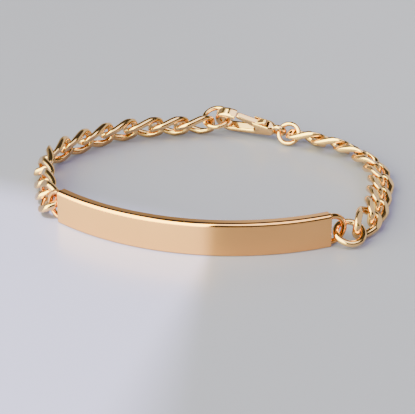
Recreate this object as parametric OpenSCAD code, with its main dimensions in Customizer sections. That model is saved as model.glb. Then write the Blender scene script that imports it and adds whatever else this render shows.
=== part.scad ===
// Identity bracelet: a curved bare plate, a soldered loop at each of its ends,
// a plain ring on its right loop, a cut curb chain on both sides and a lobster
// clasp that joins them at the back.
// It lies on its edge, as a closed loop, with the plate's face towards -Y.

/* [Plate] */
// Height of the plate, from the surface it stands on to its top edge
plate_h = 6; // [5.8:0.1:6.4]
// Thickness of the plate
plate_t = 1.85; // [1.5:0.05:2]
// Radius of the polished face, seen from above
plate_r = 42.2; // [41.8:0.1:42.6]
// Half of the angle that the plate spans
plate_half = 34.3; // [34:0.1:34.6]
// Rounding along the long edges of the face
face_round = 0.5; // [0.3:0.05:0.6]
// Rounding along the long edges of the back
back_round = 0.2; // [0.1:0.05:0.3]

/* [End loops] */
// Wire of the loops that are soldered to the plate's ends
loop_wire = 0.96; // [0.9:0.02:1]
// Radius of a loop's bend, along the middle of its wire
loop_bend = 2.35; // [2.3:0.05:2.4]
// Straight leg between the plate's end and the bend
loop_leg = 0.35; // [0.3:0.05:0.4]

/* [Chain] */
// Links between the plate's right end and the clasp
right_links = 9; // [9:1:9]
// Links between the plate's left end and the clasp
left_links = 11; // [11:1:11]
// Length of a link
link_len = 8.1; // [8:0.05:8.1]
// Width of a link
link_w = 5.5; // [5.4:0.05:5.5]
// Wire of a link
link_wire = 1.3; // [1.2:0.05:1.3]
// Twist of a link's ends out of its middle plane, each way
link_twist = 42; // [40:1:44]
// Squareness of a link's oval, 2 for an ellipse
link_square = 3; // [2.8:0.1:3.2]
// Thickness of a link over its two ground faces
link_flat = 2.1; // [2:0.05:2.2]

/* [Clasp] */
// Radius of the clasp's hook end
hook_r = 2.9; // [2.8:0.05:2.9]
// Radius of the hollow inside the hook
hollow_r = 1.75; // [1.7:0.05:1.8]
// Distance from the middle of the hook to the middle of the eye
clasp_span = 9.6; // [9.5:0.05:9.7]
// Thickness of the clasp's body
clasp_t = 2.1; // [2:0.05:2.2]
// Thickness of the lever that closes the hook
lever_t = 1.1; // [1:0.05:1.2]
// Thickness of the clasp's neck and eye
eye_t = 1; // [0.9:0.05:1.1]
// Opening turn of the lever
lever_turn = 0; // [0:1:28]

/* [Hidden] */
$fn = 48;

// Middle of the whole bracelet's outline in the layout's own coordinates
outline_mid = [-0.15, 7.64];

// The chain's middle line seen from above, from the plate's end to the clasp,
// as x and y in the layout's own coordinates
right_stops = [[27.7, -7.6], [29.6, -1.6], [29.7, 5.5], [29.1, 12.5], [26.3, 19.6],
               [20.2, 25.4], [12.6, 28.3]];
left_stops = [[-26.8, -6.4], [-28.5, -1.3], [-30.4, 4.9], [-29.7, 11.2], [-25, 18.6],
              [-19, 24.1], [-10, 28]];
// How far a link leans inwards: distance from the plate's end, lean in degrees
right_lean = [[7.5, 32], [12.7, 38], [18, 45], [23, 53], [28, 59], [34, 61], [40, 59],
              [47, 58], [55, 60]];
left_lean = [[5, 30], [12, 25.5], [20, 23], [28, 25], [36, 33.5], [44, 41], [52, 47]];

// Middle of the hook and its height, and how the clasp is turned
hook_at = [-1.2, 30.9];
hook_z = 3.2;
clasp_yaw = -9;
clasp_dip = 4.8;
clasp_lean = 36;

// Circles of the clasp's outline: its neck, its eye and the end of its hollow
neck_at = 7.4;
neck_r = 1.45;
neck_half = 0.9;
eye_r = 1.5;
eye_hole_r = 0.85;
hollow_end_at = 4.3;
hollow_end_r = 0.8;

// The lever's pivot, its tip and its thumb tab, in the clasp's own plane
pivot_at = [5.6, 0.5];
hub_r = 1;
tip_at = [1.87, 2.1];
tip_r = 0.45;
tab_at = [7, 1.85];
tab_r = 0.5;
// Steps along each round end of the lever
arc_steps = 12;
pin_r = 0.4;
pin_gap = 0.05;
pin_proud = 0.1;
// Running clearance round the lever, at its tip and beside its cheeks
tip_gap = 0.12;
cheek_gap = 0.08;
// Slot that the lever's hub turns in
slot_from = 4.2;
slot_to = 7.75;
slot_floor = -0.75;
gate_to = 4.7;

// Rings that join the clasp to the chain: wire, radius of the wire's middle line,
// place from the middle of the hook along the clasp, across it and up, then the
// ring's turn seen from above and its tilt
end_ring_wire = 0.9;
end_ring_r = 2.4;
end_ring_at = [-2.52, -0.78, 0.1];
end_ring_turn = -9;
end_ring_tilt = 25.3;
eye_ring_wire = 0.84;
eye_ring_r = 1.9;
eye_ring_at = [11.6, -0.11, -0.16];
eye_ring_turn = -3;
eye_ring_tilt = 51.4;

// Plain ring on the plate's right loop: wire, radius of the wire's middle line,
// distance from the plate's end, height, turn seen from above and lean
start_ring_wire = 1.1;
start_ring_r = 2.4;
start_ring_far = 3.35;
start_ring_z = 2.07;
start_ring_turn = -10.7;
start_ring_lean = 65.3;

// Distance from the plate's end to the middle of the first link on each side, how
// far the right one is held up by its ring, and the distance from the hook or the
// eye to the last link's middle
right_first = 7.49;
right_lift = [[0, 0]];
left_first = 4.75;
left_lift = [[0, 0]];
hook_link = 6.95;
eye_link = 5.62;

// Facets of a link: sides round the oval and round its wire
oval_sides = 16;
wire_sides = 6;
// Steps along the chain's middle line between two stops
stop_steps = 10;
// Half length over which the line's direction is taken
aim_step = 0.4;

plate_mid_y = plate_r * cos(plate_half) - 10.9;
plate_end = [plate_r * sin(plate_half), plate_mid_y - plate_r * cos(plate_half)];
hook_mid = [hook_at.x, hook_at.y];
eye_at = hook_mid + clasp_span * [cos(clasp_yaw), sin(clasp_yaw)];
link_a = (link_len - link_wire) / 2;
link_b = (link_w - link_wire) / 2;
gate_r = norm(tip_at - pivot_at) + tip_r + tip_gap;
spill = 0.01;

function mirror_x(p) = [-p.x, p.y];
function two_digits(i) = str(i < 10 ? "0" : "", i);
function link_name(side, i) = str("link_", side, two_digits(i));

// A smooth line through the stops. Its first and last points lead it in and out.
function on_curve(a, b, c, d, u) =
    (2 * b + (c - a) * u + (2 * a - 5 * b + 4 * c - d) * u * u
     + (3 * b - a - 3 * c + d) * u * u * u) / 2;
function trail(stops) = concat(
    [for (i = [1:len(stops) - 3], k = [0:stop_steps - 1])
        on_curve(stops[i - 1], stops[i], stops[i + 1], stops[i + 2], k / stop_steps)],
    [stops[len(stops) - 2]]);
function miles(line) =
    [for (i = 0, s = 0; i < len(line);
          s = i + 1 < len(line) ? s + norm(line[i + 1] - line[i]) : s, i = i + 1) s];
function route(from, out, stops, to) = let(
    all = concat([stops[0] - 2 * norm(stops[0] - from) * out, from], stops,
                 [to, 2 * to - stops[len(stops) - 1]]),
    line = trail(all), s = miles(line))
    [[for (i = [0:len(line) - 1]) [s[i], line[i].x]],
     [for (i = [0:len(line) - 1]) [s[i], line[i].y]], s[len(s) - 1]];
function at(run, s) = [lookup(s, run[0]), lookup(s, run[1])];
function aim(run, s) = let(d = at(run, s + aim_step) - at(run, s - aim_step)) d / norm(d);

right_run = route(plate_end, [cos(plate_half), sin(plate_half)], right_stops, eye_at);
left_run = route(mirror_x(plate_end), [-cos(plate_half), sin(plate_half)], left_stops, hook_mid);
right_pitch = (right_run[2] - right_first - eye_link) / (right_links - 1);
left_pitch = (left_run[2] - left_first - hook_link) / (left_links - 1);

// One link in its own frame: x along the chain, y across it, z out of its face.
// The wire's middle line is a squared oval whose ends are twisted, and the wire
// is ground flat on both faces.
function squared(v) = sign(v) * pow(abs(v), 2 / link_square);
function tilt_at(t) = -link_twist * squared(cos(t));
function oval(t) = let(w = tilt_at(t), v = link_b * squared(sin(t)))
    [link_a * squared(cos(t)), v * cos(w), v * sin(w)];
function unit(v) = v / norm(v);
function ground(p) = [p.x, p.y, max(-link_flat / 2, min(link_flat / 2, p.z))];
function wire_ring(t) = let(
    ahead = unit(oval(t + 0.5) - oval(t - 0.5)), w = tilt_at(t),
    across = unit(cross(ahead, [0, -sin(w), cos(w)])), up = cross(ahead, across))
    [for (j = [0:wire_sides - 1]) let(f = 360 * j / wire_sides)
        ground(oval(t) + link_wire / 2 * (cos(f) * across + sin(f) * up))];
link_local = [for (i = [0:oval_sides - 1]) each wire_ring(360 * (i + 0.5) / oval_sides)];
function spot(i, j) = (i % oval_sides) * wire_sides + j % wire_sides;
link_faces = [for (i = [0:oval_sides - 1], j = [0:wire_sides - 1], half = [0, 1])
    half == 0 ? [spot(i, j), spot(i + 1, j + 1), spot(i, j + 1)]
              : [spot(i, j), spot(i + 1, j), spot(i + 1, j + 1)]];

// The link's corners in the layout: side is 1 on the right and -1 on the left.
function link_points(run, s, lean, lift, side) = let(
    p = at(run, s), d = aim(run, s), ahead = [d.x, d.y, 0],
    out = side * [d.y, -d.x, 0], up = [0, 0, cos(lean)] - sin(lean) * out,
    face = cross(ahead, up),
    low = min([for (q = link_local) q.y * up.z + q.z * face.z]))
    [for (q = link_local) [p.x, p.y, lift - low] + q.x * ahead + q.y * up + q.z * face];

module laid() translate([-outline_mid.x, -outline_mid.y, 0]) children();

module curb_link(run, s, lean, lift, side) color([0.87, 0.66, 0.47]) laid()
    polyhedron(link_points(run, s, lookup(s, lean), lookup(s, lift), side), link_faces,
               convexity = 4);

// Section of the plate: x is the distance from the middle of its curve.
module plate_section() {
    translate([plate_r - plate_t, back_round])
        square([plate_t - face_round, plate_h - 2 * back_round]);
    translate([plate_r - plate_t + back_round, 0])
        square([plate_t - face_round - back_round, plate_h]);
    translate([plate_r - plate_t + back_round, face_round])
        square([plate_t - back_round, plate_h - 2 * face_round]);
    for (z = [face_round, plate_h - face_round])
        translate([plate_r - face_round, z]) circle(face_round);
    for (z = [back_round, plate_h - back_round])
        translate([plate_r - plate_t + back_round, z]) circle(back_round);
}

// A wire loop in the XZ plane, on legs that start inside the plate's end.
module end_loop() {
    leg_root = loop_wire / 2;
    for (z = [-loop_bend, loop_bend])
        translate([-leg_root, 0, z]) rotate([0, 90, 0])
            cylinder(r = loop_wire / 2, h = leg_root + loop_leg);
    translate([loop_leg, 0, 0]) rotate([90, 0, 0]) rotate([0, 0, -90])
        rotate_extrude(angle = 180) translate([loop_bend, 0]) circle(loop_wire / 2);
}

module id_plate() color([0.85, 0.65, 0.48]) laid() {
    translate([0, plate_mid_y, 0]) rotate([0, 0, -90 - plate_half])
        rotate_extrude(angle = 2 * plate_half, $fn = 180) plate_section();
    for (side = [0, 1]) mirror([side, 0, 0])
        translate([plate_end.x - plate_t / 2 * sin(plate_half),
                   plate_end.y + plate_t / 2 * cos(plate_half), plate_h / 2])
            rotate([0, 0, plate_half]) end_loop();
}

// Two circles on the x axis and the straight sides that touch them both.
module tapered(r1, r2, d) {
    sine = (r1 - r2) / d;
    cosine = sqrt(1 - sine * sine);
    circle(r1);
    translate([d, 0]) circle(r2);
    polygon([[r1 * sine, r1 * cosine], [d + r2 * sine, r2 * cosine],
             [d + r2 * sine, -r2 * cosine], [r1 * sine, -r1 * cosine]]);
}

module claw_outline() difference() {
    tapered(hook_r, neck_r, neck_at);
    tapered(hollow_r, hollow_end_r, hollow_end_at);
    intersection() {
        translate(pivot_at) circle(gate_r);
        translate([0, spill]) square([gate_to, hook_r]);
    }
}

module eye_outline() difference() {
    union() {
        translate([neck_at, -neck_half]) square([clasp_span - neck_at, 2 * neck_half]);
        translate([clasp_span, 0]) circle(eye_r);
    }
    translate([clasp_span, 0]) circle(eye_hole_r);
}

// The clasp's own plane set up in the layout: x towards the eye, y leaning inwards.
module clasp_place() laid() translate([hook_at.x, hook_at.y, hook_z])
    rotate([0, 0, clasp_yaw]) rotate([0, clasp_dip, 0]) rotate([90 + clasp_lean, 0, 0])
        children();

module clasp_body() color([0.9, 0.7, 0.52]) clasp_place() {
    difference() {
        union() {
            translate([0, 0, -clasp_t / 2]) linear_extrude(clasp_t) claw_outline();
            translate([0, 0, -eye_t / 2]) linear_extrude(eye_t) eye_outline();
        }
        translate([slot_from, slot_floor, -lever_t / 2 - cheek_gap])
            cube([slot_to - slot_from, hook_r, lever_t + 2 * cheek_gap]);
    }
    translate([pivot_at.x, pivot_at.y, -clasp_t / 2 - pin_proud])
        cylinder(r = pin_r, h = clasp_t + 2 * pin_proud);
}

// The lever's outline round its pivot: its hub, its thumb tab and its tip, with
// straight sides that touch them and a corner where the two upper sides cross.
function arc(centre, r, from, to) =
    [for (k = [0:arc_steps]) let(a = from + (to - from) * k / arc_steps)
        centre + r * [cos(a), sin(a)]];
function heading(way) = atan2(way.y, way.x);
function wrap_half(way, r) = acos((hub_r - r) / norm(way));
tip_way = tip_at - pivot_at;
tab_way = tab_at - pivot_at;
tip_from = heading(tip_way) - wrap_half(tip_way, tip_r);
tip_to = heading(tip_way) + wrap_half(tip_way, tip_r);
tab_from = heading(tab_way) - wrap_half(tab_way, tab_r);
tab_to = heading(tab_way) + wrap_half(tab_way, tab_r);
corner_at = (tab_to + tip_from) / 2;
lever_outline = concat(
    arc([0, 0], hub_r, tip_to, tab_from + 360),
    arc(tab_way, tab_r, tab_from, tab_to),
    [hub_r / cos(tab_to - corner_at) * [cos(corner_at), sin(corner_at)]],
    arc(tip_way, tip_r, tip_from, tip_to));

module clasp_lever() color([0.86, 0.66, 0.48]) clasp_place()
    translate([pivot_at.x, pivot_at.y, 0]) rotate([0, 0, lever_turn]) difference() {
        translate([0, 0, -lever_t / 2]) linear_extrude(lever_t) polygon(lever_outline);
        translate([0, 0, -lever_t]) cylinder(r = pin_r + pin_gap, h = 2 * lever_t);
    }

module round_ring(r, wire) rotate_extrude() translate([r, 0]) circle(wire / 2);

// A ring at one end of the clasp, placed from the middle of the hook.
module clasp_ring(place, turn, tilt, r, wire) color([0.88, 0.68, 0.5]) laid()
    translate([hook_at.x, hook_at.y, hook_z]) rotate([0, 0, clasp_yaw])
        rotate([0, clasp_dip, 0]) translate(place) rotate([0, 0, turn])
            rotate([tilt, 0, 0]) round_ring(r, wire);

module end_ring() clasp_ring(end_ring_at, end_ring_turn, end_ring_tilt, end_ring_r, end_ring_wire);
module eye_ring() clasp_ring(eye_ring_at, eye_ring_turn, eye_ring_tilt, eye_ring_r, eye_ring_wire);

module start_ring() color([0.88, 0.68, 0.5]) laid() {
    p = at(right_run, start_ring_far);
    d = aim(right_run, start_ring_far);
    translate([p.x, p.y, start_ring_z])
        rotate([0, 0, atan2(d.y, d.x) + start_ring_turn]) rotate([90 - start_ring_lean, 0, 0])
            round_ring(start_ring_r, start_ring_wire);
}

id_plate();
clasp_body();
clasp_lever();
start_ring();
end_ring();
eye_ring();
for (i = [1:right_links])
    curb_link(right_run, right_first + right_pitch * (i - 1), right_lean, right_lift, 1);
for (i = [1:left_links])
    curb_link(left_run, left_first + left_pitch * (i - 1), left_lean, left_lift, -1);
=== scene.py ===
import math
from types import SimpleNamespace

import bmesh
import bpy
import numpy as np
from bpy.props import FloatProperty, FloatVectorProperty, IntProperty, PointerProperty
from mathutils import Matrix, Vector


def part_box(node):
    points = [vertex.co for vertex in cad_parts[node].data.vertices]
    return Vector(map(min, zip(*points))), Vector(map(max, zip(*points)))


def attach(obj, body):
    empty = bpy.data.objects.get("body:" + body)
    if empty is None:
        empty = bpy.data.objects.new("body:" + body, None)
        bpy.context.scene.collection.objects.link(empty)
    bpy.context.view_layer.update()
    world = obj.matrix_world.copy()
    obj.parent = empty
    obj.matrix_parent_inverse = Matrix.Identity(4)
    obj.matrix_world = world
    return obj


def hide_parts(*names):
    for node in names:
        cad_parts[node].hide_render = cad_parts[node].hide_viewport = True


bl_info = {
    "name": "Identity bracelet",
    "version": (1, 0, 0),
    "blender": (4, 5, 0),
    "location": "3D View > Sidebar > Bracelet",
    "description": "Finishes an identity bracelet: plate, curb chain, rings, clasp and stage",
    "category": "Add Mesh",
}

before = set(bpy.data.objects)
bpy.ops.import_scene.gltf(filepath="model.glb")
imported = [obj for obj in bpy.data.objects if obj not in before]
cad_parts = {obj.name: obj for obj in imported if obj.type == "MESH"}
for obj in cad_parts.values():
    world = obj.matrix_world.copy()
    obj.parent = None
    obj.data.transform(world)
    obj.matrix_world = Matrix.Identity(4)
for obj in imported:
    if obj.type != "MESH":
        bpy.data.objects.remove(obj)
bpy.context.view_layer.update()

MM = 0.001
BAND = "bracelet"
LEVER = "lever"
LINK_NODES = sorted(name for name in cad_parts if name.startswith("link_"))
RING_NODES = ("start_ring", "end_ring", "eye_ring")


# Settings


class PlateSettings(bpy.types.PropertyGroup):
    face_radius: FloatProperty(
        name="Face radius", description="Radius of the polished face, seen from above",
        default=42.2 * MM, unit="LENGTH")
    half_angle: FloatProperty(
        name="Half angle", description="Half of the angle that the plate spans",
        default=math.radians(34.3), subtype="ANGLE")
    thickness: FloatProperty(
        name="Thickness", description="Thickness of the plate", default=1.85 * MM, unit="LENGTH")
    top_round: FloatProperty(
        name="Top rounding", description="Rounding along the upper edge of the face",
        default=0.7 * MM, unit="LENGTH")
    foot_round: FloatProperty(
        name="Foot rounding", description="Rounding along the lower edge of the face",
        default=0.35 * MM, unit="LENGTH")
    back_round: FloatProperty(
        name="Back rounding", description="Rounding along the long edges of the back",
        default=0.2 * MM, unit="LENGTH")
    end_round: FloatProperty(
        name="End rounding", description="Rounding round the plate's two ends",
        default=0.14 * MM, unit="LENGTH")
    crown: FloatProperty(
        name="Crown", description="How far the polished face bulges between its long edges",
        default=0.03 * MM, unit="LENGTH")
    loop_wire: FloatProperty(
        name="Loop wire", description="Wire of the end loops", default=0.96 * MM, unit="LENGTH")
    loop_bend: FloatProperty(
        name="Loop bend", description="Radius of a loop's bend, along the middle of its wire",
        default=2.35 * MM, unit="LENGTH")
    loop_leg: FloatProperty(
        name="Loop leg", description="Straight leg between the plate's end and the bend",
        default=0.35 * MM, unit="LENGTH")
    solder: FloatProperty(
        name="Solder", description="How far the solder flares a leg where it meets the plate",
        default=0.14 * MM, unit="LENGTH")
    colour: FloatVectorProperty(
        name="Colour", description="Colour of the plate's metal", subtype="COLOR",
        default=(0.88, 0.44, 0.15), min=0.0, max=1.0)


class ChainSettings(bpy.types.PropertyGroup):
    length: FloatProperty(
        name="Link length", description="Length of a link", default=7.94 * MM, unit="LENGTH")
    width: FloatProperty(
        name="Link width", description="Width of a link", default=5.25 * MM, unit="LENGTH")
    wire: FloatProperty(
        name="Link wire", description="Wire of a link", default=1.3 * MM, unit="LENGTH")
    twist: FloatProperty(
        name="Twist", description="Twist of a link's ends out of its middle plane, each way",
        default=math.radians(42), subtype="ANGLE")
    squareness: FloatProperty(
        name="Squareness", description="Squareness of a link's oval, 2 for an ellipse",
        default=3.0, min=2.0, max=4.0)
    flat: FloatProperty(
        name="Ground thickness", description="Thickness of a link over its two ground faces",
        default=2.1 * MM, unit="LENGTH")
    lift: FloatProperty(
        name="Lift", description="How far the round links stand above the seats of the CAD's",
        default=0.045 * MM, unit="LENGTH", precision=6)
    steps: IntProperty(
        name="Steps", description="Sections round a link's oval", default=84, min=24, max=160)
    sides: IntProperty(
        name="Sides", description="Sides of a link's wire", default=20, min=8, max=32)
    colour: FloatVectorProperty(
        name="Colour", description="Colour of the chain's metal", subtype="COLOR",
        default=(0.84, 0.515, 0.21), min=0.0, max=1.0)


class ClaspSettings(bpy.types.PropertyGroup):
    place: FloatVectorProperty(
        name="Place", description="Middle of the hook", size=3, precision=6,
        default=(-1.05 * MM, 23.26 * MM, 3.2 * MM), subtype="TRANSLATION")
    yaw: FloatProperty(
        name="Yaw", description="Turn seen from above", default=math.radians(-9), subtype="ANGLE")
    dip: FloatProperty(
        name="Dip", description="How far the eye's end dips", default=math.radians(4.8),
        subtype="ANGLE")
    lean: FloatProperty(
        name="Lean", description="How far the clasp leans inwards", default=math.radians(36),
        subtype="ANGLE")
    hook_radius: FloatProperty(
        name="Hook radius", description="Radius of the hook's end, in millimetres", default=2.9)
    hollow_radius: FloatProperty(
        name="Hollow radius", description="Radius of the hollow in the hook, in millimetres",
        default=1.75)
    hollow_length: FloatProperty(
        name="Hollow length", description="Where the hollow's end circle is, in millimetres",
        default=4.3)
    hollow_end: FloatProperty(
        name="Hollow end", description="Radius of the hollow's end, in millimetres", default=0.8)
    neck_place: FloatProperty(
        name="Neck place", description="Where the neck's circle is, in millimetres", default=7.4)
    neck_radius: FloatProperty(
        name="Neck radius", description="Radius of the neck, in millimetres", default=1.45)
    span: FloatProperty(
        name="Span", description="From the middle of the hook to the eye, in millimetres",
        default=9.6)
    eye_radius: FloatProperty(
        name="Eye radius", description="Outer radius of the eye, in millimetres", default=1.5)
    eye_hole: FloatProperty(
        name="Eye hole", description="Radius of the eye's hole, in millimetres", default=0.85)
    eye_thickness: FloatProperty(
        name="Eye thickness", description="Thickness of the neck and eye, in millimetres",
        default=1.0)
    thickness: FloatProperty(
        name="Thickness", description="Thickness of the clasp's body, in millimetres", default=2.1)
    rounding: FloatProperty(
        name="Rounding", description="Rounding of the body's rims, in millimetres", default=0.56)
    lever_thickness: FloatProperty(
        name="Lever thickness", description="Thickness of the lever, in millimetres", default=1.1)
    pivot: FloatVectorProperty(
        name="Pivot", description="The lever's pivot, in millimetres", size=2, default=(5.6, 0.5))
    tip: FloatVectorProperty(
        name="Tip", description="The lever's tip, in millimetres", size=2, default=(1.87, 2.1))
    tip_radius: FloatProperty(
        name="Tip radius", description="Radius of the lever's tip, in millimetres", default=0.45)
    tab: FloatVectorProperty(
        name="Tab", description="The lever's thumb tab, in millimetres", size=2, default=(7.0, 1.85))
    tab_radius: FloatProperty(
        name="Tab radius", description="Radius of the thumb tab, in millimetres", default=0.5)
    cell: FloatProperty(
        name="Cell", description="Size of the mesh's cells, in millimetres", default=0.06)
    colour: FloatVectorProperty(
        name="Colour", description="Colour of the clasp's metal", subtype="COLOR",
        default=(0.85, 0.52, 0.225), min=0.0, max=1.0)


class StageSettings(bpy.types.PropertyGroup):
    elevation: FloatProperty(
        name="Elevation", description="Height of the camera above the surface",
        default=math.radians(26.5), subtype="ANGLE")
    turn: FloatProperty(
        name="Turn", description="Turn of the camera to the right of the plate's middle",
        default=math.radians(11.1), subtype="ANGLE")
    distance: FloatProperty(
        name="Distance", description="Distance from the camera to the point it looks at",
        default=341.4 * MM, unit="LENGTH")
    lens: FloatProperty(
        name="Lens", description="Focal length for a sensor 36 mm wide", default=169.2)
    aim: FloatVectorProperty(
        name="Aim", description="Point on the surface that the camera looks at", size=3,
        default=(0.55 * MM, -7.64 * MM, 0.0), subtype="TRANSLATION", precision=6)
    floor_colour: FloatVectorProperty(
        name="Floor colour", description="Colour of the floor", subtype="COLOR",
        default=(0.238, 0.228, 0.450), min=0.0, max=1.0)


class BraceletSettings(bpy.types.PropertyGroup):
    plate: PointerProperty(type=PlateSettings)
    chain: PointerProperty(type=ChainSettings)
    clasp: PointerProperty(type=ClaspSettings)
    stage: PointerProperty(type=StageSettings)


# Nodes


class Value:
    """A number in a node tree. Sums on it add Math nodes."""

    def __init__(self, tree, socket):
        self.tree = tree
        self.socket = socket

    def _math(self, operation, *terms):
        return self.tree.add("ShaderNodeMath", {"operation": operation}, dict(enumerate(terms))).out()

    def __add__(self, other):
        return self._math("ADD", self, other)

    def __radd__(self, other):
        return self._math("ADD", other, self)

    def __sub__(self, other):
        return self._math("SUBTRACT", self, other)

    def __rsub__(self, other):
        return self._math("SUBTRACT", other, self)

    def __mul__(self, other):
        return self._math("MULTIPLY", self, other)

    def __rmul__(self, other):
        return self._math("MULTIPLY", other, self)

    def __truediv__(self, other):
        return self._math("DIVIDE", self, other)

    def __rtruediv__(self, other):
        return self._math("DIVIDE", other, self)

    def __pow__(self, other):
        return self._math("POWER", self, other)

    def least(self, other):
        return self._math("MINIMUM", self, other)

    def most(self, other):
        return self._math("MAXIMUM", self, other)

    def __neg__(self):
        return self._math("MULTIPLY", self, -1.0)

    def __abs__(self):
        return self._math("ABSOLUTE", self)

    def sign(self):
        return self._math("SIGN", self)

    def sine(self):
        return self._math("SINE", self)

    def cosine(self):
        return self._math("COSINE", self)

    def bearing(self, other):
        """The angle whose tangent is self over other."""
        return self._math("ARCTAN2", self, other)

    def soft_least(self, other, knee):
        return self._math("SMOOTH_MIN", self, other, knee)


class Made:
    """A node that has been added, with its outputs as values."""

    def __init__(self, tree, node):
        self.tree = tree
        self.node = node

    def out(self, name=0):
        return Value(self.tree, self.node.outputs[name])


class Tree:
    """A node tree that is written as expressions."""

    def __init__(self, nodes, links):
        self.nodes = nodes
        self.links = links

    def add(self, kind, settings=None, sockets=None):
        """Adds a node of a kind, with its settings and the values or links of its sockets."""
        node = self.nodes.new(kind)
        for name, value in (settings or {}).items():
            setattr(node, name, value)
        for name, value in (sockets or {}).items():
            if isinstance(value, Value):
                self.links.new(value.socket, node.inputs[name])
            else:
                node.inputs[name].default_value = value
        return Made(self, node)

    def xyz(self, x, y, z):
        return self.add("ShaderNodeCombineXYZ", None, {"X": x, "Y": y, "Z": z}).out()

    def split(self, vector):
        parts = self.add("ShaderNodeSeparateXYZ", None, {0: vector})
        return parts.out("X"), parts.out("Y"), parts.out("Z")

    def noise(self, vector, scale, detail=2.0, roughness=0.5):
        return self.add(
            "ShaderNodeTexNoise", None,
            {"Vector": vector, "Scale": scale, "Detail": detail, "Roughness": roughness}).out("Fac")

    def rise(self, value, start, end):
        """A soft step from 0 to 1 as a value passes from start to end."""
        return self.add(
            "ShaderNodeMapRange", {"interpolation_type": "SMOOTHSTEP"},
            {"Value": value, "From Min": start, "From Max": end}).out()

    def blend(self, share, first, second):
        """A colour between two colours."""
        made = self.add("ShaderNodeMix", {"data_type": "RGBA"}, {0: share, 6: first, 7: second})
        return made.out(2)


def new_material(name):
    """An empty material and its tree."""
    material = bpy.data.materials.new(name)
    material.use_nodes = True
    material.node_tree.nodes.clear()
    return material, Tree(material.node_tree.nodes, material.node_tree.links)


def finish_metal(tree, colour, roughness, height, depth):
    """Puts a metal's varying colour, roughness and relief on its surface."""
    bump = tree.add(
        "ShaderNodeBump", None, {"Height": height, "Distance": depth, "Strength": 1.0}).out()
    metal = tree.add(
        "ShaderNodeBsdfPrincipled", None,
        {"Base Color": colour, "Metallic": 1.0, "Roughness": roughness, "Normal": bump}).out()
    tree.add("ShaderNodeOutputMaterial", None, {"Surface": metal})


def shade(colour, factor):
    """A colour made lighter or darker by a factor, as the four numbers of a socket."""
    return (*(min(1.0, part * factor) for part in colour[:3]), 1.0)


def uneven(tree, cloud, colour, dark, light):
    """A colour that a cloud makes darker and lighter, between two factors."""
    return tree.blend(cloud, shade(colour, dark), shade(colour, light))


# Materials


def polished_plate(settings):
    """Mirror-polished gold with faint buffing lines along the plate's curve."""
    material, tree = new_material("polished_plate")
    place = tree.add("ShaderNodeTexCoord").out("Object")
    middle = plate_middle(settings)
    x, y, z = tree.split(place)
    along = (x - middle.x).bearing(middle.y - y) * settings.face_radius
    stretch = 0.06
    buffed = tree.noise(tree.xyz(along * stretch, y * stretch, z), scale=5200.0)
    pits = tree.noise(place, scale=2600.0, detail=3.0, roughness=0.6)
    cloud = tree.noise(place, scale=160.0)
    colour = uneven(tree, cloud, settings.colour, dark=0.97, light=1.05)
    least_rough, cloud_rough, buffed_rough = 0.035, 0.03, 0.02
    roughness = least_rough + cloud_rough * cloud + buffed_rough * buffed
    buffed_share, pit_share = 0.6, 0.4
    height = buffed_share * buffed + pit_share * pits
    finish_metal(tree, colour, roughness, height, depth=0.0012 * MM)
    return material


def polished_wire(name, colour):
    """Polished gold wire: a little softer than the plate, with fine tumbling marks."""
    material, tree = new_material(name)
    place = tree.add("ShaderNodeTexCoord").out("Object")
    cloud = tree.noise(place, scale=420.0)
    marks = tree.noise(place, scale=3400.0, detail=3.0, roughness=0.6)
    tint = uneven(tree, cloud, colour, dark=0.95, light=1.05)
    least_rough, cloud_rough, marks_rough = 0.09, 0.08, 0.03
    roughness = least_rough + cloud_rough * cloud + marks_rough * marks
    finish_metal(tree, tint, roughness, marks, depth=0.003 * MM)
    return material


def plain_floor(colour):
    """A pale matt floor with a slight sheen and a barely uneven tone."""
    material, tree = new_material("plain_floor")
    place = tree.add("ShaderNodeTexCoord").out("Object")
    cloud = tree.noise(place, scale=18.0)
    tint = uneven(tree, cloud, colour, dark=0.98, light=1.02)
    surface = tree.add(
        "ShaderNodeBsdfPrincipled", None, {"Base Color": tint, "Roughness": 0.32}).out()
    tree.add("ShaderNodeOutputMaterial", None, {"Surface": surface})
    return material


# Mesh helpers


def recalculate(mesh):
    """Turns every face of a closed mesh outwards."""
    work = bmesh.new()
    work.from_mesh(mesh)
    bmesh.ops.recalc_face_normals(work, faces=work.faces)
    work.to_mesh(mesh)
    work.free()


def new_piece(name, mesh, material, body, nodes):
    """Shows a closed mesh as a piece that rides on a body and stands for CAD nodes."""
    recalculate(mesh)
    piece = bpy.data.objects.new(name, mesh)
    bpy.context.scene.collection.objects.link(piece)
    mesh.materials.clear()
    mesh.materials.append(material)
    mesh.polygons.foreach_set("material_index", [0] * len(mesh.polygons))
    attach(piece, body)
    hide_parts(*nodes)


def mesh_from(name, points, faces):
    """A smooth mesh from lists of points and faces."""
    mesh = bpy.data.meshes.new(name)
    mesh.from_pydata([tuple(point) for point in points], [], faces)
    mesh.update()
    mesh.shade_smooth()
    return mesh


def joined(name, parts):
    """One mesh from several lists of points and faces."""
    points = []
    faces = []
    for part_points, part_faces in parts:
        start = len(points)
        points.extend(part_points)
        faces.extend(tuple(start + corner for corner in face) for face in part_faces)
    return mesh_from(name, points, faces)


def new_group(name, values, takes_points=False):
    """An empty geometry tree that has an input for each named value."""
    group = bpy.data.node_groups.new(name, "GeometryNodeTree")
    sockets = [("Geometry", "OUTPUT", "NodeSocketGeometry")]
    if takes_points:
        sockets.append(("Geometry", "INPUT", "NodeSocketGeometry"))
    for label, value in values.items():
        kind = "NodeSocketInt" if isinstance(value, int) else "NodeSocketFloat"
        sockets.append((label, "INPUT", kind))
    for label, way, kind in sockets:
        group.interface.new_socket(label, in_out=way, socket_type=kind)
    return group, Tree(group.nodes, group.links)


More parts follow.
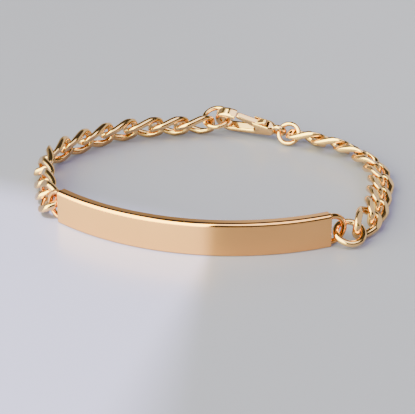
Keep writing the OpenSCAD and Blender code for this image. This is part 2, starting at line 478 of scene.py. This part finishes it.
def end_group(tree, placed, material):
    """Ends a geometry tree: its geometry is made real and gets its material."""
    real = tree.add("GeometryNodeRealizeInstances", None, {"Geometry": placed.out()})
    dressed = tree.add(
        "GeometryNodeSetMaterial", None, {"Geometry": real.out(), "Material": material})
    tree.add("NodeGroupOutput", None, {0: dressed.out()})


def shaped(name, source, group, values):
    """The plain mesh that a geometry tree makes from a source mesh. The tree's inputs are set
    by their identifiers, and the source is removed."""
    carrier = bpy.data.objects.new(name, source)
    bpy.context.scene.collection.objects.link(carrier)
    modifier = carrier.modifiers.new(name, "NODES")
    modifier.node_group = group
    for item in group.interface.items_tree:
        if item.in_out == "INPUT" and item.name in values:
            modifier[item.identifier] = values[item.name]
    bpy.context.view_layer.update()
    evaluated = carrier.evaluated_get(bpy.context.evaluated_depsgraph_get())
    mesh = bpy.data.meshes.new_from_object(evaluated)
    carrier.modifiers.clear()
    bpy.data.objects.remove(carrier)
    bpy.data.meshes.remove(source)
    mesh.name = name
    return mesh


def sweep(rings, closed):
    """Points and faces of a skin over rings of equally many points."""
    points = [point for ring in rings for point in ring]
    count = len(rings[0])
    faces = []
    for i in range(len(rings) if closed else len(rings) - 1):
        here = i * count
        there = (i + 1) % len(rings) * count
        for j in range(count):
            k = (j + 1) % count
            faces.append((here + j, here + k, there + k, there + j))
    if not closed:
        faces.append(tuple(reversed(range(count))))
        last = (len(rings) - 1) * count
        faces.append(tuple(range(last, last + count)))
    return points, faces


def wire_rings(path, radii, normal, closed, sides=28):
    """Circles round the points of a flat path whose plane has the given normal."""
    rings = []
    count = len(path)
    for i, (point, radius) in enumerate(zip(path, radii)):
        before = path[(i - 1) % count] if closed else path[max(i - 1, 0)]
        after = path[(i + 1) % count] if closed else path[min(i + 1, count - 1)]
        ahead = (after - before).normalized()
        across = ahead.cross(normal).normalized()
        turns = [2 * math.pi * j / sides for j in range(sides)]
        rings.append([point + radius * (math.cos(a) * across + math.sin(a) * normal) for a in turns])
    return rings


# Plate


def plate_middle(settings):
    """Middle of the plate's curve, from the box of its CAD node."""
    low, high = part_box("id_plate")
    return Vector(((low.x + high.x) / 2, low.y + settings.face_radius, 0.0))


def plate_height():
    """Height of the plate, from the box of its CAD node."""
    low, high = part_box("id_plate")
    return high.z - low.z


def plate_outline(settings, inset):
    """The plate's section as depth behind the face and height, round from the lower front."""
    height = plate_height()
    front_steps, back_steps = 12, 5
    # A corner's depth, height and rounding, the angle where its rounding starts, and its steps
    corners = (
        (0.0, 0.0, settings.foot_round, 180, front_steps),
        (settings.thickness, 0.0, settings.back_round, 270, back_steps),
        (settings.thickness, height, settings.back_round, 0, back_steps),
        (0.0, height, settings.top_round, 90, front_steps),
    )
    points = []
    for depth, level, rounding, start, steps in corners:
        centre_depth = depth + rounding if depth == 0.0 else depth - rounding
        centre_level = level + rounding if level == 0.0 else level - rounding
        radius = rounding - inset
        for k in range(steps + 1):
            angle = math.radians(start + 90 * k / steps)
            points.append((
                centre_depth + radius * math.cos(angle), centre_level + radius * math.sin(angle)))
    return with_supports(points, settings, height)


def with_supports(points, settings, height):
    """Adds points beside the roundings and across the face, and bulges the face by its crown."""
    margin = 0.03 * MM
    long_run = 10 * margin
    full = []
    for i, (depth, level) in enumerate(points):
        full.append((depth, level))
        next_depth, next_level = points[(i + 1) % len(points)]
        run = math.hypot(next_depth - depth, next_level - level)
        if run > long_run:
            for share in (margin / run, 0.25, 0.5, 0.75, 1 - margin / run):
                full.append((
                    depth + (next_depth - depth) * share, level + (next_level - level) * share))
    crowned = []
    for depth, level in full:
        in_front = 1 - min(1.0, depth / (0.5 * settings.thickness))
        share = (level - height / 2) / (height / 2)
        crowned.append((depth + settings.crown * in_front * share * share, level))
    return crowned


def plate_ring(settings, middle, angle, inset):
    """The section's points at an angle along the plate's curve."""
    ring = []
    for depth, level in plate_outline(settings, inset):
        radius = settings.face_radius - depth
        ring.append(Vector((
            middle.x + radius * math.sin(angle), middle.y - radius * math.cos(angle), level)))
    return ring


def plate_bar(settings):
    """The curved bar, with a small rounding round both ends."""
    middle = plate_middle(settings)
    half = settings.half_angle
    turn = settings.end_round / settings.face_radius
    # An end's sections, as an angle in from the end and how far the outline is drawn in: one
    # that closes the end, those of the rounding, and one that keeps the bar's outline beside it
    cap_draw, keep_turn, bar_turn, round_steps, bar_steps = 1.25, 1.3, 3, 4, 144
    ends = [(0.0, settings.end_round * cap_draw)]
    for k in range(round_steps + 1):
        bend = math.pi / 2 * k / round_steps
        ends.append((turn * (1 - math.cos(bend)), settings.end_round * (1 - math.sin(bend))))
    ends.append((turn * keep_turn, 0.0))
    rings = [plate_ring(settings, middle, -half + past, inset) for past, inset in ends]
    inner = half - turn * bar_turn
    for i in range(bar_steps + 1):
        rings.append(plate_ring(settings, middle, -inner + 2 * inner * i / bar_steps, 0.0))
    rings += [plate_ring(settings, middle, half - past, inset) for past, inset in reversed(ends)]
    return sweep(rings, closed=False)


def end_loop(settings, side):
    """A soldered wire loop at the plate's end: side is 1 on the right and -1 on the left."""
    middle = plate_middle(settings)
    half = settings.half_angle
    radius = settings.face_radius - settings.thickness / 2
    root = Vector((
        middle.x + side * radius * math.sin(half), middle.y - radius * math.cos(half),
        plate_height() / 2))
    ahead = Vector((side * math.cos(half), math.sin(half), 0.0))
    up = Vector((0.0, 0.0, 1.0))
    buried, flare = 0.4 * MM, 0.3 * MM
    leg_steps, bend_steps = 8, 48
    leg = [(-buried + (settings.loop_leg + buried) * k / leg_steps, settings.loop_bend)
           for k in range(leg_steps)]
    flat = [(far, -level) for far, level in leg]
    for k in range(bend_steps + 1):
        angle = -math.pi / 2 + math.pi * k / bend_steps
        flat.append((settings.loop_leg + settings.loop_bend * math.cos(angle),
                     settings.loop_bend * math.sin(angle)))
    flat += reversed(leg)
    path = [root + ahead * far + up * level for far, level in flat]
    radii = [settings.loop_wire / 2 + settings.solder * math.exp(-(max(far, 0.0) / flare) ** 2)
             for far, level in flat]
    return sweep(wire_rings(path, radii, ahead.cross(up), closed=False), closed=False)


class BRACELET_OT_plate(bpy.types.Operator):
    """Make the polished plate with its two soldered end loops"""

    bl_idname = "bracelet.plate"
    bl_label = "Plate"

    def execute(self, context):
        settings = context.scene.bracelet.plate
        mesh = joined("id_plate_polished", [
            plate_bar(settings), end_loop(settings, 1), end_loop(settings, -1)])
        new_piece("id_plate_polished", mesh, polished_plate(settings), BAND, ["id_plate"])
        return {"FINISHED"}


# Chain


def own_points(node):
    """A CAD node's corners, each once."""
    corners = np.array([vertex.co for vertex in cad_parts[node].data.vertices])
    return np.unique(np.round(corners, 8), axis=0)


def rest_turn(corners):
    """Middle and turn of a piece: x along its longest axis and z along its shortest."""
    middle = corners.mean(axis=0)
    spread, axes = np.linalg.eigh(np.cov((corners - middle).T))
    x, y = axes[:, 2], axes[:, 1]
    turn = Matrix((x, y, np.cross(x, y))).transposed()
    return middle, turn.to_euler()


def link_tree(sizes, material):
    """Geometry nodes that make one twisted, ground link and set it on every point."""
    group, tree = new_group("curb_links", sizes, takes_points=True)
    given = tree.add("NodeGroupInput")
    wire = given.out("Wire")
    half_length = (given.out("Length") - wire) * 0.5
    half_width = (given.out("Width") - wire) * 0.5
    power = 2.0 / given.out("Squareness")

    def squared(value):
        return value.sign() * abs(value) ** power

    fine_points = 240
    circle = tree.add(
        "GeometryNodeCurvePrimitiveCircle", {"mode": "RADIUS"},
        {"Resolution": fine_points, "Radius": 1.0})
    angle = tree.add("GeometryNodeSplineParameter").out("Factor") * (2 * math.pi)
    reach = squared(angle.cosine())
    tilt = -(given.out("Twist") * reach)
    height = half_width * squared(angle.sine())
    place = tree.xyz(half_length * reach, height * tilt.cosine(), height * tilt.sine())
    oval = tree.add(
        "GeometryNodeSetPosition", None, {"Geometry": circle.out("Curve"), "Position": place})
    even = tree.add(
        "GeometryNodeResampleCurve", None, {"Curve": oval.out(), "Count": given.out("Steps")})
    section = tree.add(
        "GeometryNodeCurvePrimitiveCircle", {"mode": "RADIUS"},
        {"Resolution": given.out("Sides"), "Radius": wire * 0.5})
    tube = tree.add(
        "GeometryNodeCurveToMesh", None,
        {"Curve": even.out(), "Profile Curve": section.out("Curve")})
    x, y, z = tree.split(tree.add("GeometryNodeInputPosition").out())
    edge_knee = 0.06 * MM
    level = abs(z).soft_least(given.out("Ground thickness") * 0.5, edge_knee)
    ground = tree.add(
        "GeometryNodeSetPosition", None,
        {"Geometry": tube.out(), "Position": tree.xyz(x, y, z.sign() * level)})
    smooth = tree.add(
        "GeometryNodeSetShadeSmooth", None, {"Geometry": ground.out(), "Shade Smooth": True})
    turn = tree.add(
        "GeometryNodeInputNamedAttribute", {"data_type": "FLOAT_VECTOR"}, {"Name": "turn"})
    rotation = tree.add("FunctionNodeEulerToRotation", None, {0: turn.out("Attribute")})
    placed = tree.add(
        "GeometryNodeInstanceOnPoints", None,
        {"Points": given.out("Geometry"), "Instance": smooth.out(), "Rotation": rotation.out()})
    end_group(tree, placed, material)
    return group


class BRACELET_OT_chain(bpy.types.Operator):
    """Make the curb links, each where its CAD node lies"""

    bl_idname = "bracelet.chain"
    bl_label = "Curb chain"

    def execute(self, context):
        settings = context.scene.bracelet.chain
        material = polished_wire("polished_links", settings.colour)
        rests = [rest_turn(own_points(node)) for node in LINK_NODES]
        seats = bpy.data.meshes.new("link_seats")
        lift = np.array((0.0, 0.0, settings.lift))
        seats.from_pydata([tuple(middle + lift) for middle, turn in rests], [], [])
        turns = seats.attributes.new("turn", "FLOAT_VECTOR", "POINT")
        turns.data.foreach_set("vector", [angle for middle, turn in rests for angle in turn])
        sizes = {
            "Length": settings.length, "Width": settings.width, "Wire": settings.wire,
            "Twist": settings.twist, "Squareness": settings.squareness,
            "Ground thickness": settings.flat, "Steps": settings.steps, "Sides": settings.sides}
        mesh = shaped("curb_chain", seats, link_tree(sizes, material), sizes)
        new_piece("curb_chain", mesh, material, BAND, LINK_NODES)
        return {"FINISHED"}


# Rings


def ring_shape(node):
    """Middle, axis, mid radius and wire radius of a ring, from its CAD node."""
    low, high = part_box(node)
    middle = np.array((low + high) / 2)
    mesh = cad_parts[node].data
    areas = np.array([face.area for face in mesh.polygons])
    centres = np.array([face.center for face in mesh.polygons]) - middle
    spread = (centres * areas[:, None]).T @ centres
    axis = np.linalg.eigh(spread)[1][:, 0]
    corners = own_points(node) - middle
    along = corners @ axis
    wire = (along.max() - along.min()) / 2
    outer = np.sqrt((corners ** 2).sum(axis=1) - along ** 2).max()
    return Vector(middle), Vector(axis), float(outer - wire), float(wire)


def plain_ring(node):
    """A round wire ring with a faint soldered seam."""
    middle, axis, radius, wire = ring_shape(node)
    side = axis.orthogonal().normalized()
    other = axis.cross(side)
    steps = 96
    turns = [2 * math.pi * k / steps for k in range(steps)]
    path = [middle + radius * (math.cos(a) * side + math.sin(a) * other) for a in turns]
    seam_at, seam_spread, seam_depth = math.pi, 0.05, 0.02
    radii = [wire * (1 - seam_depth * math.exp(-((a - seam_at) / seam_spread) ** 2)) for a in turns]
    return sweep(wire_rings(path, radii, axis, closed=True), closed=True)


class BRACELET_OT_rings(bpy.types.Operator):
    """Make the plain rings: the one on the plate's loop and the two on the clasp"""

    bl_idname = "bracelet.rings"
    bl_label = "Plain rings"

    def execute(self, context):
        material = polished_wire("polished_rings", context.scene.bracelet.chain.colour)
        for node in RING_NODES:
            name = f"{node}_wire"
            new_piece(name, joined(name, [plain_ring(node)]), material, BAND, [node])
        return {"FINISHED"}


# Clasp


BODY_SIZES = (
    "hook_radius", "hollow_radius", "hollow_length", "hollow_end", "neck_place", "neck_radius",
    "span", "eye_radius", "eye_hole", "eye_thickness", "thickness", "rounding",
    "lever_thickness", "pivot", "tip", "tip_radius")
LEVER_SIZES = ("lever_thickness", "pivot", "tip", "tip_radius", "tab", "tab_radius")
# Two corners of the block of cells round the clasp, in millimetres in the clasp's own plane
CELLS_FROM = (-3.4, -3.4, -1.6)
CELLS_TO = (11.6, 3.4, 1.6)


def length(x, y):
    """Length of a flat vector."""
    return (x * x + y * y) ** 0.5


def soft_union(first, second, fillet):
    """Distance from two shapes together, with a fillet where they meet."""
    return first.soft_least(second, fillet)


def tapered(x, y, start, end, start_radius, end_radius):
    """Distance from a flat shape that runs from one circle to another, less than 0 inside."""
    far_x, far_y = end[0] - start[0], end[1] - start[1]
    run = length(far_x, far_y)
    ahead_x, ahead_y = far_x / run, far_y / run
    along = (x - start[0]) * ahead_x + (y - start[1]) * ahead_y
    beside = abs((y - start[1]) * ahead_x - (x - start[0]) * ahead_y)
    fall = (start_radius - end_radius) / run
    slope = fall / (1 - fall * fall) ** 0.5
    centre = (along - beside * slope).most(0.0).least(run)
    return length(beside, along - centre) - (start_radius - fall * centre)


def plate_of(flat, z, thickness, rounding):
    """Distance from a flat shape with a thickness and rounded rims."""
    over = flat + rounding
    above = abs(z) - (thickness / 2 - rounding)
    return over.most(above).least(0.0) + length(over.most(0.0), above.most(0.0)) - rounding


def body_field(x, y, z, size):
    """Distance from the clasp's body, in millimetres in the clasp's own plane."""
    hook = (0.0, 0.0)
    claw = tapered(x, y, hook, (size.neck_place, 0.0), size.hook_radius, size.neck_radius)
    hollow = tapered(x, y, hook, (size.hollow_length, 0.0), size.hollow_radius, size.hollow_end)
    # The opening that the lever's tip sweeps through
    tip_gap, gate_to, gate_floor = 0.12, 4.7, 0.01
    to_tip = length(size.tip_x - size.pivot_x, size.tip_y - size.pivot_y)
    to_pivot = length(x - size.pivot_x, y - size.pivot_y)
    gate = to_pivot - (to_tip + size.tip_radius + tip_gap)
    gate = gate.most(x - gate_to).most(gate_floor - y).most(-x)
    claw = plate_of(claw.most(-hollow).most(-gate), z, size.thickness, size.rounding)
    # The eye on its neck
    fillet, neck_half, neck_back, rim_share = 0.5, 0.9, 0.3, 0.4
    to_eye = length(x - size.span, y)
    neck = abs(x - (size.neck_place + size.span) / 2 + neck_back).most(abs(y)) - neck_half
    eye = soft_union(to_eye - size.eye_radius, neck, fillet).most(size.eye_hole - to_eye)
    eye = plate_of(eye, z, size.eye_thickness, size.eye_thickness * rim_share)
    body = soft_union(claw, eye, fillet)
    # The slot between the cheeks, where the lever turns, and the pin across it
    cheek_gap, slot_from, slot_to, slot_floor = 0.08, 4.2, 7.75, -0.75
    slot = abs(z) - (size.lever_thickness / 2 + cheek_gap)
    slot = slot.most(slot_from - x).most(x - slot_to).most(slot_floor - y)
    pin_radius, pin_proud, pin_rounding = 0.4, 0.15, 0.1
    pin = plate_of(to_pivot - pin_radius, z, size.thickness + pin_proud, pin_rounding)
    return body.most(-slot).least(pin)


def lever_field(x, y, z, size):
    """Distance from the lever, in millimetres in the clasp's own plane."""
    hub_radius, hole_radius, fillet, rounding = 1.0, 0.45, 0.2, 0.22
    pivot = (size.pivot_x, size.pivot_y)
    arm = tapered(x, y, pivot, (size.tip_x, size.tip_y), hub_radius, size.tip_radius)
    tab = tapered(x, y, pivot, (size.tab_x, size.tab_y), hub_radius, size.tab_radius)
    hole = hole_radius - length(x - size.pivot_x, y - size.pivot_y)
    lever = soft_union(arm, tab, fillet).most(hole)
    return plate_of(lever, z, size.lever_thickness, rounding)


def clasp_sizes(settings, names):
    """Values for a clasp tree's inputs: the sizes of these names, a point's x and y apart, and
    how many cells the mesh is cut from."""
    sizes = {}
    for name in names:
        size = getattr(settings, name)
        label = name.replace("_", " ").capitalize()
        if isinstance(size, float):
            sizes[label] = size
        else:
            sizes[f"{label} x"], sizes[f"{label} y"] = size
    for axis, near, far in zip("xyz", CELLS_FROM, CELLS_TO):
        sizes[f"Cells {axis}"] = round((far - near) / settings.cell)
    return sizes


def clasp_turn(settings):
    """The clasp's turn: leaned about its length, dipped and turned seen from above."""
    lean = Matrix.Rotation(math.pi / 2 + settings.lean, 3, "X")
    dip = Matrix.Rotation(settings.dip, 3, "Y")
    yaw = Matrix.Rotation(settings.yaw, 3, "Z")
    return (yaw @ dip @ lean).to_euler()


def clasp_tree(name, field, sizes, settings, material):
    """Geometry nodes that turn a field of distances into a mesh."""
    group, tree = new_group(name, sizes)
    given = tree.add("NodeGroupInput")
    size = SimpleNamespace(**{
        label.lower().replace(" ", "_"): given.out(label) for label in sizes})
    x, y, z = tree.split(tree.add("GeometryNodeInputPosition").out())
    volume = tree.add(
        "GeometryNodeVolumeCube", None,
        {"Density": -field(x, y, z, size), "Background": -1.0, "Min": CELLS_FROM, "Max": CELLS_TO,
         "Resolution X": size.cells_x, "Resolution Y": size.cells_y, "Resolution Z": size.cells_z})
    skin = tree.add(
        "GeometryNodeVolumeToMesh", {"resolution_mode": "GRID"},
        {"Volume": volume.out(), "Threshold": 0.0})
    smooth = tree.add(
        "GeometryNodeSetShadeSmooth", None, {"Geometry": skin.out(), "Shade Smooth": True})
    placed = tree.add(
        "GeometryNodeTransform", None,
        {"Geometry": smooth.out(), "Translation": settings.place, "Rotation": clasp_turn(settings),
         "Scale": (MM, MM, MM)})
    end_group(tree, placed, material)
    return group


class BRACELET_OT_clasp(bpy.types.Operator):
    """Make the lobster clasp's body and its lever"""

    bl_idname = "bracelet.clasp"
    bl_label = "Clasp"

    def execute(self, context):
        settings = context.scene.bracelet.clasp
        material = polished_wire("polished_clasp", settings.colour)
        pieces = (
            ("clasp_body", BAND, body_field, BODY_SIZES),
            ("clasp_lever", LEVER, lever_field, LEVER_SIZES))
        for node, body, field, names in pieces:
            name = f"{node}_polished"
            sizes = clasp_sizes(settings, names)
            group = clasp_tree(f"{node}_shape", field, sizes, settings, material)
            mesh = shaped(name, bpy.data.meshes.new("cells"), group, sizes)
            new_piece(name, mesh, material, body, [node])
        return {"FINISHED"}


# Stage


# Width of the camera's sensor in millimetres, and half a side of the floor in metres
SENSOR_WIDTH = 36.0
HALF_FLOOR = 2.0


def lamp(name, kind, place, aim, power):
    """A lamp of a kind that faces a point and isn't mirrored."""
    data = bpy.data.lights.new(name, kind)
    data.energy = power
    light = bpy.data.objects.new(name, data)
    bpy.context.scene.collection.objects.link(light)
    light.location = place
    light.visible_glossy = False
    light.rotation_euler = (Vector(aim) - Vector(place)).to_track_quat("-Z", "Y").to_euler()
    return data


def barn_door(name, lamp_place, shadow):
    """A card whose shadow has straight sides. Each of its corners is at a share of the way from
    the lamp to the shadow's corner on the floor. The nearer the lamp it is, the softer is the
    shadow's edge."""
    lamp_at = Vector(lamp_place)
    corners = [lamp_at.lerp(Vector((x, y, 0.0)), share) for x, y, share in shadow]
    card = bpy.data.objects.new(name, mesh_from(name, corners, [range(len(corners))]))
    bpy.context.scene.collection.objects.link(card)
    return card


def studio_air():
    """What the metal mirrors besides the floor: a window on the left, a bright ceiling, a pale
    wall behind that is dimmer at its left end, a glow low down in front on the right, and dim
    air between them. A direction's x points right, its y to the back and its z up."""
    world = bpy.data.worlds.new("studio_air")
    bpy.context.scene.world = world
    world.use_nodes = True
    world.node_tree.nodes.clear()
    tree = Tree(world.node_tree.nodes, world.node_tree.links)
    x, y, z = tree.split(tree.add("ShaderNodeTexCoord").out("Generated"))
    leftward = (-x).bearing(-y)
    across = tree.rise(leftward, math.radians(-2), math.radians(2)) * tree.rise(
        leftward, math.radians(104), math.radians(86))
    window = across * tree.rise(z, 0.02, 0.10) * tree.rise(z, 0.96, 0.90)
    # 1 towards the middle of the ceiling, and less away from it
    overhead = 0.33 * x - 0.30 * y + 0.895 * z
    ceiling = tree.rise(overhead, 0.87, 0.93)
    wall_left, wall_gain = 0.4, 0.55
    wall = tree.rise(y, 0.05, 0.4) * tree.rise(z, 0.58, 0.49)
    wall = wall * (wall_left + wall_gain * tree.rise(x, -0.19, -0.13))
    glow = tree.rise(y, 0.0, -0.1) * tree.rise(x, 0.0, 0.1) * tree.rise(z, 0.12, 0.06)
    air_light, ceiling_light, window_light, glow_light = 0.06, 3.6, 12.0, 0.8
    strength = (
        air_light + ceiling_light * ceiling + window_light * window + wall + glow_light * glow)
    plain_tone = (0.98, 0.98, 1.0, 1.0)
    window_tone = (0.98, 1.05, 0.42, 1.0)
    tone = tree.blend(window, plain_tone, window_tone)
    air = tree.add("ShaderNodeBackground", None, {"Color": tone, "Strength": strength}).out()
    tree.add("ShaderNodeOutputWorld", None, {"Surface": air})


class BRACELET_OT_stage(bpy.types.Operator):
    """Set up the floor, the studio light and the camera"""

    bl_idname = "bracelet.stage"
    bl_label = "Stage"

    def execute(self, context):
        settings = context.scene.bracelet.stage
        scene = context.scene
        square = ((-1, -1), (1, -1), (1, 1), (-1, 1))
        corners = [(x * HALF_FLOOR, y * HALF_FLOOR, 0.0) for x, y in square]
        floor_mesh = mesh_from("floor", corners, [range(len(corners))])
        floor_mesh.materials.append(plain_floor(settings.floor_colour))
        floor = bpy.data.objects.new("floor", floor_mesh)
        scene.collection.objects.link(floor)
        studio_air()
        self.light_patch()
        self.set_camera(scene, settings)
        return {"FINISHED"}

    def light_patch(self):
        """Lights the floor before the plate's left half, which the plate mirrors. Three cards
        keep that light off the floor on the right and off what is behind the plate."""
        place = (-0.20, -0.33, 0.52)
        aim = (-0.030, -0.050, 0.0)
        patch = lamp("patch", "SPOT", place, aim, power=56.0)
        patch.color = (1.0, 0.97, 0.82)
        patch.spot_size = math.radians(14.0)
        patch.spot_blend = 0.7
        patch.shadow_soft_size = 0.12 * MM
        # Lines on the floor between which the cards' shadows lie
        left_x, lit_to_x, right_x = -0.10, 4.05 * MM, 0.18
        near_y, at_plate, far_y = -0.18, -26.0 * MM, 0.10
        behind_plate = -17.0 * MM
        behind_slope = 0.23
        behind_left = behind_plate + behind_slope * (lit_to_x - left_x)
        # Shares of the way from the lamp to the floor, for three kinds of shadow edge
        soft, even, crisp = 0.0059, 0.025, 0.107
        barn_door("front_door", place, [
                (lit_to_x, near_y, soft), (lit_to_x, at_plate, crisp),
                (right_x, at_plate, crisp), (right_x, near_y, soft)])
        barn_door("right_door", place, [
                (lit_to_x, at_plate, crisp), (lit_to_x, far_y, crisp),
                (right_x, far_y, crisp), (right_x, at_plate, crisp)])
        barn_door("back_door", place, [
                (right_x, behind_plate, even), (lit_to_x, behind_plate, even),
                (left_x, behind_left, even), (left_x, far_y, even), (right_x, far_y, even)])

    def set_camera(self, scene, settings):
        """Looks at the plate from the photograph's viewing angle."""
        data = bpy.data.cameras.new("camera")
        data.sensor_width = SENSOR_WIDTH
        data.lens = settings.lens
        data.clip_start = 0.01
        data.clip_end = 10.0
        camera = bpy.data.objects.new("camera", data)
        scene.collection.objects.link(camera)
        back = Vector((
            math.cos(settings.elevation) * math.sin(settings.turn),
            -math.cos(settings.elevation) * math.cos(settings.turn),
            math.sin(settings.elevation)))
        camera.location = Vector(settings.aim) + settings.distance * back
        camera.rotation_euler = (math.pi / 2 - settings.elevation, 0.0, settings.turn)
        scene.camera = camera


# Panel


class BRACELET_PT_panel(bpy.types.Panel):
    """Lists the bracelet's pieces and its stage"""

    bl_idname = "BRACELET_PT_panel"
    bl_label = "Bracelet"
    bl_space_type = "VIEW_3D"
    bl_region_type = "UI"
    bl_category = "Bracelet"

    def draw(self, context):
        for operator in OPERATORS:
            self.layout.operator(operator.bl_idname)


OPERATORS = (
    BRACELET_OT_stage,
    BRACELET_OT_plate,
    BRACELET_OT_chain,
    BRACELET_OT_rings,
    BRACELET_OT_clasp,
)
CLASSES = (
    PlateSettings,
    ChainSettings,
    ClaspSettings,
    StageSettings,
    BraceletSettings,
    *OPERATORS,
    BRACELET_PT_panel,
)


def register():
    for each in CLASSES:
        bpy.utils.register_class(each)
    bpy.types.Scene.bracelet = PointerProperty(type=BraceletSettings)


def unregister():
    del bpy.types.Scene.bracelet
    for each in reversed(CLASSES):
        bpy.utils.unregister_class(each)


def main():
    register()
    bpy.ops.bracelet.stage()
    bpy.ops.bracelet.plate()
    bpy.ops.bracelet.chain()
    bpy.ops.bracelet.rings()
    bpy.ops.bracelet.clasp()


if __name__ == "__main__":
    main()
